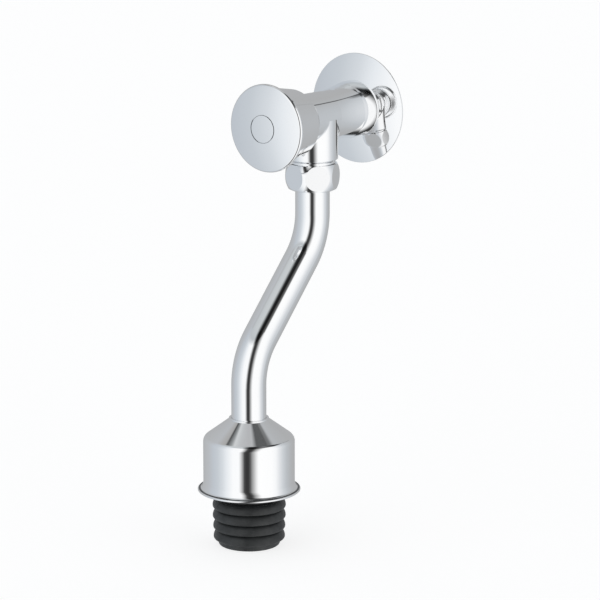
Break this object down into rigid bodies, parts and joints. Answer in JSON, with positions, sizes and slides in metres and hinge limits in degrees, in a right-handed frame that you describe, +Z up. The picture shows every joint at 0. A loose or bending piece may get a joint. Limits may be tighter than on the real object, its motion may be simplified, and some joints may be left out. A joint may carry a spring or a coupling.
{
  "type": "urinal flush valve",
  "caption": "Chromed self-closing push-button flush valve with wall inlet, domed flange, offset flush pipe, pipe cover and ribbed rubber connector.",
  "frame": {"origin": "centre of the inlet thread at the wall plane", "axes": "+Z up, +Y into the wall along the inlet thread, and the push button faces -Y"},
  "size_m": [0.0614, 0.1476, 0.2587],
  "materials": {
    "chrome": "polished chrome plate",
    "brass": "machined",
    "steel": "bright stainless",
    "plastic": "moulded",
    "seal_rubber": "moulded, matt",
    "black_rubber": "moulded, satin black"
  },
  "bodies": {
    "valve": {"valve_body": "chrome", "inlet_nipple": "brass", "inlet_strainer": "steel", "wall_flange": "chrome", "cartridge_sleeve": "plastic", "cartridge_o_rings": "seal_rubber", "seat_ring": "brass", "gland_nut": "brass", "gland_o_ring": "seal_rubber", "bonnet_seal": "seal_rubber", "glide_ring": "plastic", "return_spring": "steel", "pipe_seal": "seal_rubber", "slip_washer": "brass"},
    "button": {"push_button": "chrome", "index_disc": "chrome", "button_screw": "steel", "spindle": "brass", "piston": "plastic", "piston_lip_seal": "seal_rubber", "piston_clip": "steel", "valve_washer": "seal_rubber", "washer_holder": "brass", "holder_nut": "brass"},
    "nut": {"coupling_nut": "chrome"},
    "pipe": {"flush_pipe": "chrome", "rubber_connector": "black_rubber"},
    "cover": {"pipe_cover": "chrome"}
  },
  "joints": [
    {"name": "button_push", "type": "slide", "parent": "valve", "child": "button", "axis": [0, 1, 0], "range_m": [0, 0.003], "stiffness_N_per_m": 1500, "springref_m": -0.004, "deforming": ["return_spring"]},
    {"name": "nut_turn", "type": "hinge", "parent": "valve", "child": "nut", "pos_m": [0, -0.0421, 0], "axis": [0, 0, 1], "continuous": true},
    {"name": "pipe_swivel", "type": "hinge", "parent": "valve", "child": "pipe", "pos_m": [0, -0.0421, 0], "axis": [0, 0, 1], "range_deg": [-90, 90]},
    {"name": "cover_lift", "type": "slide", "parent": "pipe", "child": "cover", "axis": [0, 0, 1], "range_m": [0, 0.017]}
  ]
}
